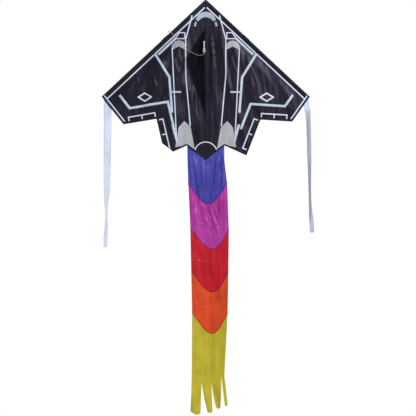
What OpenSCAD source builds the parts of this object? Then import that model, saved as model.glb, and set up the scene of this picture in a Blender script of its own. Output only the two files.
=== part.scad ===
// Delta kite: a printed sail on rod spars, a keel with a tow tab, a short leader,
// a scalloped tail with a fringe and a ribbon streamer on each wing tip.
// Origin at the nose of the sail. +Z is up, the front of the sail faces -Y, +X is its right.

/* [Sail] */
// Half of the wing span
half_span = 573; // [540:1:600]
// Drop of a wing tip below the nose
tip_drop = 536; // [510:1:560]
// Distance of the outer trailing corner from the centre line
outer_x = 463; // [440:1:480]
// Drop of the outer trailing corner
outer_drop = 683; // [660:1:700]
// Distance of the trailing notch from the centre line
notch_x = 288; // [270:1:300]
// Drop of the trailing notch
notch_drop = 662; // [640:1:670]
// Distance of the trailing lobe from the centre line
lobe_x = 224; // [210:1:240]
// Drop of the trailing lobe
lobe_drop = 860; // [840:1:880]
// Distance of the inner corner from the centre line
inner_x = 104; // [102:1:110]
// Drop of the inner corner
inner_drop = 806; // [800:1:815]
// Drop of the sail's centre point
point_drop = 883; // [870:1:885]

/* [Spars] */
// Diameter of every rod
rod_d = 5; // [4:0.5:6]
// Distance of the leading edge rods from the folded edge
spar_inset = 5; // [5:0.5:7]
// Width of the leading edge sleeve
sleeve_w = 26; // [22:1:30]
// Length of the nose patch along each leading edge
nose_len = 36; // [33:1:42]
// Drop of the spreader below the nose
spreader_drop = 215; // [205:1:235]
// Distance of the spreader's axis behind the sail
spreader_y = 12; // [12:0.5:14]

/* [Keel] */
// Depth of the keel at its apex
keel_depth = 190; // [160:1:200]
// Drop of the keel's upper end
keel_top = 154; // [140:1:170]
// Drop of the keel's apex
keel_apex = 260; // [250:1:270]
// Drop of the keel's lower end
keel_bottom = 655; // [620:1:680]
// Radius of the hole in the tow eyelet
eyelet_r = 3; // [2:0.25:3.5]

/* [Tail] */
// Drop of the scallop shoulders where one colour ends and the next starts
tail_steps = [1009, 1259, 1495, 1722];
// Length of each scallop below its shoulders
scallop_drop = 113; // [80:1:120]
// How far right of the tail's middle each scallop is lowest
scallop_lean = [3, 16, 13, 10];
// Drop of the tail's lower end
tail_end = 2280; // [2250:1:2300]
// Drop of the upper ends of the slits between the fringe strips
slit_top = 2110; // [2080:1:2150]

/* [Streamers] */
// Width of each ribbon
ribbon_w = 42; // [30:1:45]
// Drop of the ribbons' lower ends
ribbon_end = 1350; // [1200:1:1400]

/* [Hidden] */

cloth = 0.8;            // thickness of the sail's solids
half_cloth = cloth / 2;
thin_cloth = 0.5;       // thickness of the tail, keel and ribbon solids
body_gap = 0.3;         // gap between solids on different bodies
rod_r = rod_d / 2;
fit_gap = 0.05;         // radial clearance of the vinyl pieces on the rods
bore_r = rod_r + 0.8;   // inside radius of a cloth sleeve
tube_r = bore_r + 0.6;  // outside radius of a cloth sleeve
cap_r = rod_r + 0.6;
cap_len = 12;
far = 2000;             // larger than the kite, for cutting

edge_angle = atan2(tip_drop, half_span);
edge_len = norm([half_span, tip_drop]);
fold_angle = atan2(inner_x, inner_drop);
sleeve_end = edge_len - 14;
// Place of the connector along the leading edge
connector_s = (spreader_drop - spar_inset * cos(edge_angle)) / sin(edge_angle);
connector_x = connector_s * cos(edge_angle) - spar_inset * sin(edge_angle);
connector_window = 40;  // length of the gap in the sleeve
spreader_half = connector_x - 6;

spine_top = 85;
spine_end = 870;
spine_y = half_cloth + 0.6 + tube_r;
tail_y = half_cloth + 0.05;
tail_top = 790;
tail_hinge = 893;
tail_half_top = 101;
// Edges of the tail at its hinge line, at each step and at its end: [left, right]
tail_edges = [[-101, 101], [-100, 114], [-89, 123], [-84, 120], [-79, 116], [-79, 106]];
tail_drops = concat([tail_hinge + body_gap], tail_steps, [tail_end]);

wing_outline = [
    [0, 0], [half_span, -tip_drop], [outer_x, -outer_drop], [notch_x, -notch_drop],
    [lobe_x, -lobe_drop], [inner_x, -inner_drop]
];
center_outline = [[0, 0], [inner_x, -inner_drop], [0, -point_drop], [-inner_x, -inner_drop]];

keel_y = -(half_cloth + 0.8);
tab_y = -(keel_depth + 2);
tab_lean = -8;          // the cord draws the tab to the left
eyelet_z = -(keel_apex + 47);
eyelet_len = 3;
eyelet_flange_r = 5.5;

cord_d = 2.5;
cord_steps = 3;         // rings to each stretch of the route
// Route of the leader: from the eyelet, up to the left leading edge, over it and down behind
cord_route = [
    [-8, -192, -314], [-9, -192, -320], [-14, -189, -325], [-24, -181, -328],
    [-38, -167, -326], [-54, -150, -320], [-70, -133, -310], [-86, -116, -298],
    [-102, -99, -284], [-118, -82, -268], [-134, -65, -251], [-150, -48, -233],
    [-164, -34, -216], [-177, -22, -200], [-188, -14, -187], [-197, -8, -178],
    [-204, -2, -174], [-206, 4, -176], [-203, 8, -183], [-197, 9, -192],
    [-191, 8, -202], [-188, 6, -214], [-186, 5, -234], [-185, 5, -260],
    [-185, 5, -290], [-184, 5, -330], [-184, 5, -365], [-184, 5, -400]
];
knot_r = 3.2;
loop_r = 9;

// A plate in the plane of the sail, from its outline in X and Z
module plate(points, y0, y1)
    translate([0, y1, 0]) rotate([90, 0, 0]) linear_extrude(y1 - y0) polygon(points);

// Mirrors its children to the left when side is -1
module on_side(side) {
    if (side < 0) mirror([1, 0, 0]) children();
    else children();
}

// Right leading edge: X is the distance in from the folded edge, Z runs from the nose to the tip
module edge_frame() rotate([0, 90 + edge_angle, 0]) children();

// Everything above the nose patch's lower edges, on one side
module nose_zone() edge_frame() translate([-far, -10, -far]) cube([2 * far, 20, far + nose_len]);

module sleeve_zone() edge_frame() translate([-far, -10, 0]) cube([far + sleeve_w, 20, far]);

// Strip along the fold line between the centre panel and the right wing
module fold_strip(w) rotate([0, -fold_angle, 0]) translate([-w, -10, -far]) cube([2 * w, 20, far + 10]);

module sail_center_panel() color([0.06, 0.055, 0.075])
    difference() {
        plate(center_outline, -half_cloth, half_cloth);
        nose_zone();
        mirror([1, 0, 0]) nose_zone();
    }

module wing_sail(side) color([0.06, 0.055, 0.075])
    on_side(side) difference() {
        plate(wing_outline, -half_cloth, half_cloth);
        nose_zone();
        sleeve_zone();
        if (side > 0) fold_strip(body_gap);
    }

module left_wing_sail() wing_sail(-1);
module right_wing_sail() wing_sail(1);

module nose_patch() color([0.12, 0.11, 0.13])
    difference() {
        plate([
            [0, 0],
            [nose_len * cos(edge_angle), -nose_len * sin(edge_angle)],
            [0, -nose_len / sin(edge_angle)],
            [-nose_len * cos(edge_angle), -nose_len * sin(edge_angle)]
        ], -half_cloth, half_cloth);
        translate([0, 0, far - 1.5]) cube([2 * far, 20, 2 * far], center = true);
    }

module leading_edge_sleeve(side) color([0.09, 0.085, 0.1])
    on_side(side) edge_frame() difference() {
        translate([0, 0, nose_len + body_gap]) linear_extrude(sleeve_end - nose_len - body_gap) difference() {
            union() {
                translate([spar_inset, 0]) circle(r = tube_r, $fn = 48);
                translate([spar_inset, -half_cloth]) square([sleeve_w - spar_inset, cloth]);
            }
            translate([spar_inset, 0]) circle(r = bore_r, $fn = 48);
        }
        translate([-1, -10, connector_s - connector_window / 2])
            cube([sleeve_w / 2 + 2, 20, connector_window]);
    }

module left_leading_edge_sleeve() leading_edge_sleeve(-1);
module right_leading_edge_sleeve() leading_edge_sleeve(1);

spar_start = nose_len + 6;
spar_finish = sleeve_end - 6;

module leading_edge_spar(side) color([0.16, 0.16, 0.17])
    on_side(side) edge_frame() translate([spar_inset, 0, spar_start])
        cylinder(r = rod_r, h = spar_finish - spar_start, $fn = 48);

module left_leading_edge_spar() leading_edge_spar(-1);
module right_leading_edge_spar() leading_edge_spar(1);

// A vinyl cap that closes a rod's end: the rod enters from +Z
module rod_cap(flat = 2) difference() {
    translate([0, 0, -flat]) cylinder(r = cap_r, h = cap_len, $fn = 48);
    cylinder(r = rod_r + fit_gap, h = cap_len, $fn = 48);
}

module spar_caps(side) color([0.05, 0.05, 0.05])
    on_side(side) edge_frame() translate([spar_inset, 0, 0]) {
        translate([0, 0, spar_start]) rod_cap();
        translate([0, 0, spar_finish]) mirror([0, 0, 1]) rod_cap();
    }

module left_spar_caps() spar_caps(-1);
module right_spar_caps() spar_caps(1);

// Heavier cloth over the wing tip, behind the sail
module tip_patch(side) color([0.1, 0.095, 0.11])
    on_side(side) intersection() {
        plate(wing_outline, half_cloth, half_cloth + thin_cloth);
        edge_frame() translate([sleeve_w, 0, edge_len - 70]) cube([40, 10, 200]);
    }

module left_tip_patch() tip_patch(-1);
module right_tip_patch() tip_patch(1);

// Vinyl fitting: a tube on the leading edge rod, and a channel open at the back for the spreader
module spreader_connector(side) color([0.04, 0.04, 0.045])
    on_side(side) difference() {
        union() {
            edge_frame() translate([spar_inset, 0, connector_s - 12])
                cylinder(r = rod_r + 2.5, h = 24, $fn = 48);
            translate([connector_x - 24, rod_r + 0.6, -spreader_drop - 5.5])
                cube([26, spreader_y + 3 - rod_r - 0.6, 11]);
        }
        edge_frame() translate([spar_inset, 0, connector_s - 40])
            cylinder(r = rod_r + fit_gap, h = 80, $fn = 48);
        translate([connector_x - 40, spreader_y - cap_r - 0.3, -spreader_drop - cap_r - 0.3])
            cube([37, 20, 2 * cap_r + 0.6]);
    }

module left_spreader_connector() spreader_connector(-1);
module right_spreader_connector() spreader_connector(1);

module spine_sleeve() color([0.08, 0.075, 0.09])
    difference() {
        union() {
            translate([0, spine_y, -spine_end]) cylinder(r = tube_r, h = spine_end - spine_top, $fn = 48);
            translate([-9, half_cloth, -tail_top + 2]) cube([18, 0.8, tail_top - 2 - spine_top]);
        }
        translate([0, spine_y, -spine_end - 1]) cylinder(r = bore_r, h = spine_end, $fn = 48);
    }

module spine_spar() color([0.16, 0.16, 0.17])
    translate([0, spine_y, -spine_end + 6]) cylinder(r = rod_r, h = spine_end - spine_top - 12, $fn = 48);

module spine_caps() color([0.05, 0.05, 0.05]) translate([0, spine_y, 0]) {
    translate([0, 0, -spine_end + 6]) rod_cap();
    translate([0, 0, -spine_top - 6]) mirror([0, 0, 1]) rod_cap();
}

module across() translate([0, spreader_y, -spreader_drop]) rotate([0, 90, 0]) children();

module spreader_spar() color([0.2, 0.2, 0.21])
    across() translate([0, 0, -spreader_half + 3])
        cylinder(r = rod_r, h = 2 * spreader_half - 6, $fn = 48);

module spreader_end_caps() color([0.05, 0.05, 0.05]) across() {
    translate([0, 0, -spreader_half + 3]) rod_cap();
    translate([0, 0, spreader_half - 3]) mirror([0, 0, 1]) rod_cap();
}

// A plate in the plane of the keel, from its outline in Y and Z
module keel_plate(points, x0, x1)
    translate([x0, 0, 0]) rotate([90, 0, 90]) linear_extrude(x1 - x0) polygon(points);

keel_corner = [-keel_depth, -keel_apex];
keel_upper = [keel_y, -keel_top];
keel_lower = [keel_y, -keel_bottom];
function toward(a, b, d) = a + (b - a) * d / norm(b - a);

module keel_panel() color([0.06, 0.055, 0.075])
    keel_plate([keel_upper, keel_corner, keel_lower], -thin_cloth / 2, thin_cloth / 2);

module keel_reinforcement() color([0.1, 0.095, 0.11])
    for (side = [-1, 1])
        keel_plate([
            keel_corner,
            toward(keel_corner, keel_upper, 62),
            toward(keel_corner, keel_lower, 90)
        ], min(side * thin_cloth / 2, side * thin_cloth), max(side * thin_cloth / 2, side * thin_cloth));

// Tape folded round the apex of the keel: two sewn legs and the hanging end with the eyelet
module tow_tab() color([0.92, 0.92, 0.9])
    difference() {
        union() {
            for (side = [-1, 1])
                translate([side > 0 ? thin_cloth : -thin_cloth - 0.8, -keel_depth - 1.6, -keel_apex - 5])
                    cube([0.8, 24, 10]);
            hull() {
                translate([-3, -keel_depth - 2.6, -keel_apex - 5]) cube([6, 1.2, 12]);
                translate([tab_lean, -keel_depth - 1.4, eyelet_z]) rotate([90, 0, 0])
                    cylinder(r = eyelet_flange_r + 1.5, h = 1.2, $fn = 32);
            }
        }
        translate([tab_lean, -keel_depth + 5, eyelet_z]) rotate([90, 0, 0])
            cylinder(r = eyelet_flange_r + fit_gap, h = 20, $fn = 48);
    }

module tow_eyelet() color([0.8, 0.68, 0.4])
    translate([tab_lean, tab_y + eyelet_len / 2, eyelet_z]) rotate([90, 0, 0]) difference() {
        cylinder(r = eyelet_flange_r, h = eyelet_len, $fn = 64);
        translate([0, 0, -1]) cylinder(r = eyelet_r, h = eyelet_len + 2, $fn = 64);
    }

// Smooth curve through the points of a route
function curve_at(p, i, t) =
    let (
        a = p[max(i - 1, 0)],
        b = p[i],
        c = p[i + 1],
        d = p[min(i + 2, len(p) - 1)]
    )
    (2 * b + (c - a) * t + (2 * a - 5 * b + 4 * c - d) * t * t
        + (3 * b - a - 3 * c + d) * t * t * t) / 2;

function smooth_route(p, n) = [
    for (i = [0 : len(p) - 2]) for (k = [0 : n - 1]) curve_at(p, i, k / n),
    p[len(p) - 1]
];

function unit(v) = v / norm(v);

function ring_at(line, i, r, sides) =
    let (
        t = unit(line[min(i + 1, len(line) - 1)] - line[max(i - 1, 0)]),
        u = unit(cross(t, [1, 1, 0])),
        v = cross(t, u)
    )
    [for (k = [0 : sides - 1]) line[i] + r * (cos(360 * k / sides) * u + sin(360 * k / sides) * v)];

module sweep(line, r, sides) {
    n = len(line);
    points = [for (i = [0 : n - 1]) each ring_at(line, i, r, sides)];
    walls = [
        for (i = [0 : n - 2]) for (k = [0 : sides - 1])
            let (a = i * sides + k, b = i * sides + (k + 1) % sides)
                [a, b, b + sides, a + sides]
    ];
    first = [for (k = [sides - 1 : -1 : 0]) k];
    last = [for (k = [0 : sides - 1]) (n - 1) * sides + k];
    polyhedron(points, concat(walls, [first, last]), convexity = 10);
}

module leader_cord() color([0.46, 0.43, 0.44])
    sweep(smooth_route(cord_route, cord_steps), cord_d / 2, 8);

module leader_loop_knot() color([0.46, 0.43, 0.44])
    translate(cord_route[len(cord_route) - 1] - [0, 0, knot_r]) {
        sphere(r = knot_r, $fn = 24);
        translate([0, 0, -knot_r - loop_r]) rotate([90, 0, 0]) rotate_extrude($fn = 36)
            translate([loop_r, 0]) circle(r = cord_d / 2, $fn = 16);
    }

module tail_heading() color([0.2, 0.18, 0.55])
    plate([
        [-tail_half_top, -tail_top], [tail_half_top, -tail_top],
        [tail_half_top, -tail_hinge + body_gap], [-tail_half_top, -tail_hinge + body_gap]
    ], tail_y, tail_y + thin_cloth);

// Lower edge of tail panel i from its right side to its left: flat shoulders and a deep curve
function scallop(i, lift = 0) =
    let (left = tail_edges[i][0], right = tail_edges[i][1])
    [for (k = [0 : 24])
        let (u = 1 - k / 12)
            [(left + right) / 2 + u * (right - left) / 2 + scallop_lean[i - 1] * (1 - u * u),
             -tail_drops[i] + lift - scallop_drop * pow(max(cos(90 * u), 0), 1.12)]];

function reversed(list) = [for (i = [len(list) - 1 : -1 : 0]) list[i]];

// Upper edge of panel i, from left to right
function panel_top(i) =
    i == 0
    ? [[tail_edges[0][0], -tail_drops[0]], [tail_edges[0][1], -tail_drops[0]]]
    : reversed(scallop(i, -body_gap));

module tail_panel(i, shade) color(shade)
    plate(concat(panel_top(i), scallop(i + 1)), tail_y, tail_y + thin_cloth);

module tail_blue() tail_panel(0, [0.25, 0.23, 0.65]);
module tail_magenta() tail_panel(1, [0.65, 0.18, 0.61]);
module tail_red() tail_panel(2, [0.75, 0.1, 0.2]);
module tail_orange() tail_panel(3, [0.83, 0.33, 0.14]);

slit_x = [-28, 27, 81];
slit_w = 8;

module tail_yellow() color([0.72, 0.67, 0.2])
    difference() {
        plate(
            concat(panel_top(4), [[tail_edges[5][1], -tail_end], [tail_edges[5][0], -tail_end]]),
            tail_y, tail_y + thin_cloth
        );
        for (x = slit_x)
            plate([
                [x, -slit_top], [x + slit_w / 2, -tail_end - 1], [x - slit_w / 2, -tail_end - 1]
            ], 0, 5);
    }

ribbon_x = 542;         // middle of a ribbon at its top
ribbon_top = 545;
ribbon_hinge = 616;
ribbon_lean = 20;       // a ribbon's lower end lies further out

module streamer_hem(side) color([0.85, 0.87, 0.92])
    on_side(side) intersection() {
        plate([
            [ribbon_x - ribbon_w / 2, -ribbon_top], [ribbon_x + ribbon_w / 2, -ribbon_top],
            [ribbon_x + ribbon_w / 2, -ribbon_hinge + body_gap],
            [ribbon_x - ribbon_w / 2, -ribbon_hinge + body_gap]
        ], half_cloth + 0.6, half_cloth + 0.6 + thin_cloth);
        edge_frame() translate([sleeve_w - 12, 0, 0]) cube([far, 10, far]);
    }

module left_streamer_hem() streamer_hem(-1);
module right_streamer_hem() streamer_hem(1);

module streamer(side) color([0.85, 0.87, 0.92])
    on_side(side) plate([
        [ribbon_x - ribbon_w / 2, -ribbon_hinge - body_gap],
        [ribbon_x + ribbon_w / 2, -ribbon_hinge - body_gap],
        [ribbon_x + ribbon_w / 2 + ribbon_lean, -ribbon_end],
        [ribbon_x - ribbon_w / 2 + ribbon_lean, -ribbon_end]
    ], half_cloth + 0.6, half_cloth + 0.6 + thin_cloth);

module left_streamer() streamer(-1);
module right_streamer() streamer(1);

sail_center_panel();
left_wing_sail();
right_wing_sail();
nose_patch();
left_leading_edge_sleeve();
right_leading_edge_sleeve();
left_leading_edge_spar();
right_leading_edge_spar();
left_spar_caps();
right_spar_caps();
left_tip_patch();
right_tip_patch();
left_spreader_connector();
right_spreader_connector();
spine_sleeve();
spine_spar();
spine_caps();
spreader_spar();
spreader_end_caps();
keel_panel();
keel_reinforcement();
tow_tab();
tow_eyelet();
leader_cord();
leader_loop_knot();
tail_heading();
tail_blue();
tail_magenta();
tail_red();
tail_orange();
tail_yellow();
left_streamer_hem();
left_streamer();
right_streamer_hem();
right_streamer();
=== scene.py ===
"""Delta kite, hung nose up: the looks of every piece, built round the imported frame.

The frame is in metres: +Z up, the front of the sail faces -Y and the nose of the sail is the origin.
Outlines below are in millimetres, as (x, z) in the plane of the sail, and are turned into metres when built.
"""

import math

import bpy
import numpy as np
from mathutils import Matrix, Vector
from mathutils.geometry import delaunay_2d_cdt


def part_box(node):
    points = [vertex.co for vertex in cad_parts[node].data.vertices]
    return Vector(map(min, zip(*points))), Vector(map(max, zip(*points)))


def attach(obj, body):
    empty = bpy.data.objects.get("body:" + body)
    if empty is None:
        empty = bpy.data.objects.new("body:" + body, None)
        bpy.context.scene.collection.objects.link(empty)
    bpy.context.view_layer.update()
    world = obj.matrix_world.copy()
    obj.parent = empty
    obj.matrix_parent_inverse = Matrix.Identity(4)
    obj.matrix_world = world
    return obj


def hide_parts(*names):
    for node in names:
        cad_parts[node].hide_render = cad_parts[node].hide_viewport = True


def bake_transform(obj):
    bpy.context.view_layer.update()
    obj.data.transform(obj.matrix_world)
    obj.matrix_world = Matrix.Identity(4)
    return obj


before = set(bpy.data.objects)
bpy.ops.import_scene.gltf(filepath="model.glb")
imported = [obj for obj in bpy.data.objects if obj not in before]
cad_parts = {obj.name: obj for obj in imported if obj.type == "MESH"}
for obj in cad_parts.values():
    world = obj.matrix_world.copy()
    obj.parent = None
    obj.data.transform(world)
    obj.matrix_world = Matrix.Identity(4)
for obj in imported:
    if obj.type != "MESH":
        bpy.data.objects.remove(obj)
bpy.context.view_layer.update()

MM = 0.001
PICTURE_W = 2288.0  # what the picture spans at the sail, in millimetres
CAMERA_FAR = 8.0
VIEW_CENTRE = (0.0125, -1.149)  # x and z of the picture's middle, in metres
FLOOR_Z, FLOOR_R = -2.75, 2.2

# ---- sizes from the frame
wing_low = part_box("right_wing_sail")[0]
center_low, center_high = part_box("sail_center_panel")
keel_low, keel_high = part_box("keel_panel")
eyelet_low, eyelet_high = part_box("tow_eyelet")
fitting_low, fitting_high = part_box("right_spreader_connector")

TIP = (573.0, -536.0)  # right wing tip
OUTER = (463.0, -683.0)  # outer trailing corner
NOTCH = (288.0, -662.0)
LOBE = (224.0, wing_low[2] / MM)  # lowest point of the trailing lobe
INNER = (center_high[0] / MM, -806.0)  # corner beside the tail
POINT = (0.0, center_low[2] / MM)  # centre point of the sail
EDGE_ANGLE = math.atan2(-TIP[1], TIP[0])
EDGE_LEN = math.hypot(*TIP)
SLEEVE_W = 26.0
HEM_W = 9.0
FITTING_S = -(fitting_low[2] + fitting_high[2]) / 2 / MM / math.sin(EDGE_ANGLE) - 4.0  # along the edge
WINDOW = 40.0  # length of sleeve that makes room for the fitting
KEEL_DEPTH = -keel_low[1] / MM
KEEL_TOP = -keel_high[2] / MM
KEEL_BOTTOM = -keel_low[2] / MM
KEEL_APEX = 260.0
EYELET = np.array([(a + b) / 2 / MM for a, b in zip(eyelet_low, eyelet_high)])
EYELET_R = (eyelet_high[0] - eyelet_low[0]) / 2 / MM
TAIL_Y = 0.7
TAIL_TOP = -790.0
TAIL_SPLIT = -950.0  # the heading piece ends here, unseen, in the blue panel
TAIL_STEPS = (-1009.0, -1259.0, -1495.0, -1722.0)  # the shoulders of the scalloped seams
SCALLOP_LEAN = (3.0, 16.0, 13.0, 10.0)  # how far right of the middle each scallop is lowest
SCALLOP = 113.0  # how deep the scallops hang
LAP = 5.0  # how far a panel reaches behind the next


def along_edge(s, inset=0.0):
    """A point of the right leading edge, s from the nose and inset from the folded edge."""
    return (
        s * math.cos(EDGE_ANGLE) - inset * math.sin(EDGE_ANGLE),
        -s * math.sin(EDGE_ANGLE) - inset * math.cos(EDGE_ANGLE),
    )


def mirrored(points):
    return [(-x, z) for x, z in points]


def each_side(outline):
    """The sides of a closed outline, as pairs of its corners."""
    return zip(outline, outline[1:] + outline[:1])


def signed_area(outline):
    """The area inside, which is positive if the outline runs anticlockwise."""
    return sum(a[0] * b[1] - b[0] * a[1] for a, b in each_side(outline)) / 2


def full_turn(steps):
    """Even angles round a circle."""
    return [2 * math.pi * k / steps for k in range(steps)]


def unit(v):
    return v / np.linalg.norm(v)


# ---- camera, light and floor
def place(obj, location, target):
    obj.location = location
    obj.rotation_euler = (Vector(target) - Vector(location)).to_track_quat("-Z", "Y").to_euler()
    bpy.context.scene.collection.objects.link(obj)


def make_camera():
    data = bpy.data.cameras.new("camera")
    data.sensor_width = 36.0
    data.lens = 36.0 * CAMERA_FAR / (PICTURE_W * MM)
    data.clip_end = 60.0
    camera = bpy.data.objects.new("camera", data)
    x, z = VIEW_CENTRE
    place(camera, (x, -CAMERA_FAR, z), (x, 0.0, z))
    bpy.context.scene.camera = camera


def make_light(name, location, target, size, power, shade=(1.0, 1.0, 1.0)):
    data = bpy.data.lights.new(name, "AREA")
    data.shape = "DISK"
    data.size = size
    data.energy = power
    data.color = shade
    place(bpy.data.objects.new(name, data), location, target)


def set_inputs(tree, node, **inputs):
    """Each input of the node gets its value, or a link if it is given another node's output."""
    for key, value in inputs.items():
        socket = node.inputs[key.replace("_", " ")]
        if isinstance(value, bpy.types.NodeSocket):
            tree.links.new(value, socket)
        else:
            socket.default_value = value
    return node


def add(tree, kind, **inputs):
    return set_inputs(tree, tree.nodes.new(f"ShaderNode{kind}"), **inputs)


def make_world():
    """White where the camera sees it, and softer as a light."""
    world = bpy.data.worlds.new("studio")
    world.use_nodes = True
    tree = world.node_tree
    tree.nodes.clear()
    lit = add(tree, "Background", Color=(0.95, 0.97, 1.0, 1.0), Strength=0.42)
    seen = add(tree, "Background", Color=(1.0, 1.0, 1.0, 1.0), Strength=1.0)
    mix = add(tree, "MixShader", Fac=add(tree, "LightPath").outputs["Is Camera Ray"])
    tree.links.new(lit.outputs[0], mix.inputs[1])
    tree.links.new(seen.outputs[0], mix.inputs[2])
    add(tree, "OutputWorld", Surface=mix.outputs[0])
    bpy.context.scene.world = world


def make_floor():
    rim = [(FLOOR_R * math.cos(a), FLOOR_R * math.sin(a), FLOOR_Z) for a in full_turn(96)]
    mesh = bpy.data.meshes.new("floor")
    mesh.from_pydata(rim, [], [tuple(range(len(rim)))])
    mesh.materials.append(plain("floor_paint", (0.86, 0.86, 0.87), 0.9))
    floor = bpy.data.objects.new("floor", mesh)
    bpy.context.scene.collection.objects.link(floor)


# ---- materials
def start_material(name):
    material = bpy.data.materials.new(name)
    material.use_nodes = True
    tree = material.node_tree
    return material, tree, tree.nodes["Principled BSDF"]


def object_coords(tree):
    return add(tree, "TexCoord").outputs["Object"]


def plain(name, colour, roughness):
    material, tree, shader = start_material(name)
    set_inputs(tree, shader, Base_Color=(*colour, 1.0), Roughness=roughness)
    return material


def stretched(tree, coords, turn, scale=(1.0, 1.0, 1.0)):
    """Object coordinates turned and scaled, for grain that runs one way."""
    return add(tree, "Mapping", Vector=coords, Rotation=turn, Scale=scale).outputs["Vector"]


def ramp(tree, source, low, high, dark, light):
    node = add(tree, "ValToRGB", Fac=source)
    for element, position, colour in zip(node.color_ramp.elements, (low, high), (dark, light)):
        element.position = position
        element.color = (*colour, 1.0)
    return node.outputs["Color"]


def bump(tree, height, strength, distance, **under):
    node = add(tree, "Bump", Height=height, Strength=strength, Distance=distance, **under)
    return node.outputs["Normal"]


def maths(tree, operation, first, second):
    node = add(tree, "Math")
    node.operation = operation
    tree.links.new(first.outputs["Fac"], node.inputs[0])
    tree.links.new(second.outputs["Fac"], node.inputs[1])
    return node.outputs[0]


def varied(tree, source, low, high):
    """A roughness between low and high that follows a texture."""
    return add(tree, "MapRange", Value=source.outputs["Fac"], To_Min=low, To_Max=high).outputs["Result"]


def hatching(tree, coords, shade, hatch):
    """Slanting stripes of the colour hatch over the colour shade."""
    slant = stretched(tree, coords, (0.0, math.radians(38.0), 0.0))
    wave = add(tree, "TexWave", Vector=slant, Scale=62.0, Distortion=0.4)
    edge = ramp(tree, wave.outputs["Fac"], 0.62, 0.82, (0.0, 0.0, 0.0), (0.8, 0.8, 0.8))
    mix = add(tree, "Mix")
    mix.data_type = "RGBA"
    return set_inputs(tree, mix, Factor=edge, A=shade, B=(*hatch, 1.0)).outputs["Result"]


def shades(colour, down, up, lift=0.0):
    """A darker and a lighter shade of a colour."""
    return tuple(c * down for c in colour), tuple(min(1.0, c * up + lift) for c in colour)


WEAVE_SCALE = 320.0


def satin(name, colour, shine, roughness=0.42, crinkle=0.5, hatch=None, tint=(1.0, 1.0, 1.0), crumple=0.0):
    """Thin woven nylon: a fine weave, soft crinkles, a sheen and a slow change of colour."""
    material, tree, shader = start_material(name)
    coords = object_coords(tree)
    slow = add(tree, "TexNoise", Vector=coords, Scale=9.0, Detail=4.0, Roughness=0.55)
    shade = ramp(tree, slow.outputs["Fac"], 0.3, 0.7, *shades(colour, 0.86, 1.12, 0.004))
    if hatch is not None:
        shade = hatching(tree, coords, shade, hatch)
    long = stretched(tree, coords, (0.0, 0.35, 0.0), (26.0, 26.0, 7.0))
    creases = add(tree, "TexNoise", Vector=long, Scale=1.0, Detail=5.0, Roughness=0.5)
    folded = bump(tree, creases.outputs["Fac"], crinkle, 0.006)
    if crumple > 0:
        slanted = stretched(tree, coords, (0.0, 0.5, 0.0), (30.0, 30.0, 17.0))
        cells = add(tree, "TexVoronoi", Vector=slanted, Scale=1.0)
        cells.feature = "DISTANCE_TO_EDGE"
        folded = bump(tree, cells.outputs["Distance"], crumple, 0.004, Normal=folded)
    warp = add(tree, "TexWave", Vector=coords, Scale=WEAVE_SCALE)
    across = stretched(tree, coords, (0.0, math.pi / 2, 0.0))
    weft = add(tree, "TexWave", Vector=across, Scale=WEAVE_SCALE)
    weave = bump(tree, maths(tree, "MULTIPLY", warp, weft), 0.25, 0.0001, Normal=folded)
    set_inputs(
        tree, shader, Base_Color=shade, Normal=weave, Specular_IOR_Level=shine, Specular_Tint=(*tint, 1.0),
        Roughness=varied(tree, slow, roughness - 0.06, roughness + 0.08),
    )
    return material


def moulded(name, colour, roughness, metallic=0.0):
    """Rod, vinyl or metal: a fine grain, slight wear and a gloss that varies."""
    material, tree, shader = start_material(name)
    coords = object_coords(tree)
    slow = add(tree, "TexNoise", Vector=coords, Scale=60.0, Detail=6.0)
    fine = add(tree, "TexNoise", Vector=coords, Scale=900.0, Detail=3.0)
    set_inputs(
        tree, shader, Metallic=metallic, Normal=bump(tree, fine.outputs["Fac"], 0.2, 0.0002),
        Base_Color=ramp(tree, slow.outputs["Fac"], 0.3, 0.7, *shades(colour, 0.75, 1.25, 0.01)),
        Roughness=varied(tree, slow, roughness - 0.08, roughness + 0.1),
    )
    return material


def braid(name, colour, pitch=260.0):
    """Braided line or woven tape: crossing diagonal threads."""
    material, tree, shader = start_material(name)
    coords = object_coords(tree)
    one = add(tree, "TexWave", Vector=stretched(tree, coords, (0.6, 0.8, 0.0)), Scale=pitch)
    two = add(tree, "TexWave", Vector=stretched(tree, coords, (-0.6, -0.8, 0.5)), Scale=pitch)
    both = maths(tree, "MAXIMUM", one, two)
    set_inputs(
        tree, shader, Base_Color=ramp(tree, both, 0.2, 0.8, *shades(colour, 0.7, 1.1)),
        Normal=bump(tree, both, 0.5, 0.0003), Roughness=0.75, Sheen_Weight=0.3,
    )
    return material


NYLON = satin("black_nylon", (0.0085, 0.007, 0.015), 0.18, 0.40, 0.5, tint=(0.80, 0.74, 1.0))
NYLON_EDGE = satin("black_nylon_edge", (0.006, 0.005, 0.009), 0.16, 0.45, 0.4, tint=(0.85, 0.80, 1.0))
PRINT = satin("pale_print", (0.56, 0.64, 0.76), 0.2, 0.55, 0.3)
PRINT_HATCH = satin("hatched_print", (0.56, 0.66, 0.78), 0.2, 0.55, 0.3, hatch=(0.14, 0.19, 0.26))
PRINT_GREY = satin("grey_print", (0.35, 0.36, 0.39), 0.2, 0.55, 0.4)
SHOW_THROUGH = satin("print_seen_from_behind", (0.10, 0.11, 0.13), 0.45, 0.45, 0.4)
PRINT_NOSE = satin("nose_print", (0.38, 0.42, 0.52), 0.2, 0.5, 0.3, hatch=(0.24, 0.27, 0.36))
THREAD = braid("black_thread", (0.03, 0.028, 0.034))
PALE_THREAD = braid("pale_thread", (0.7, 0.7, 0.72))
TAPE = braid("white_tape", (0.46, 0.50, 0.56), 180.0)
LINE = braid("leader_braid", (0.30, 0.27, 0.27))
ROD = moulded("rod_fibreglass", (0.035, 0.035, 0.04), 0.35)
VINYL = moulded("vinyl", (0.014, 0.014, 0.016), 0.5)
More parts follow.
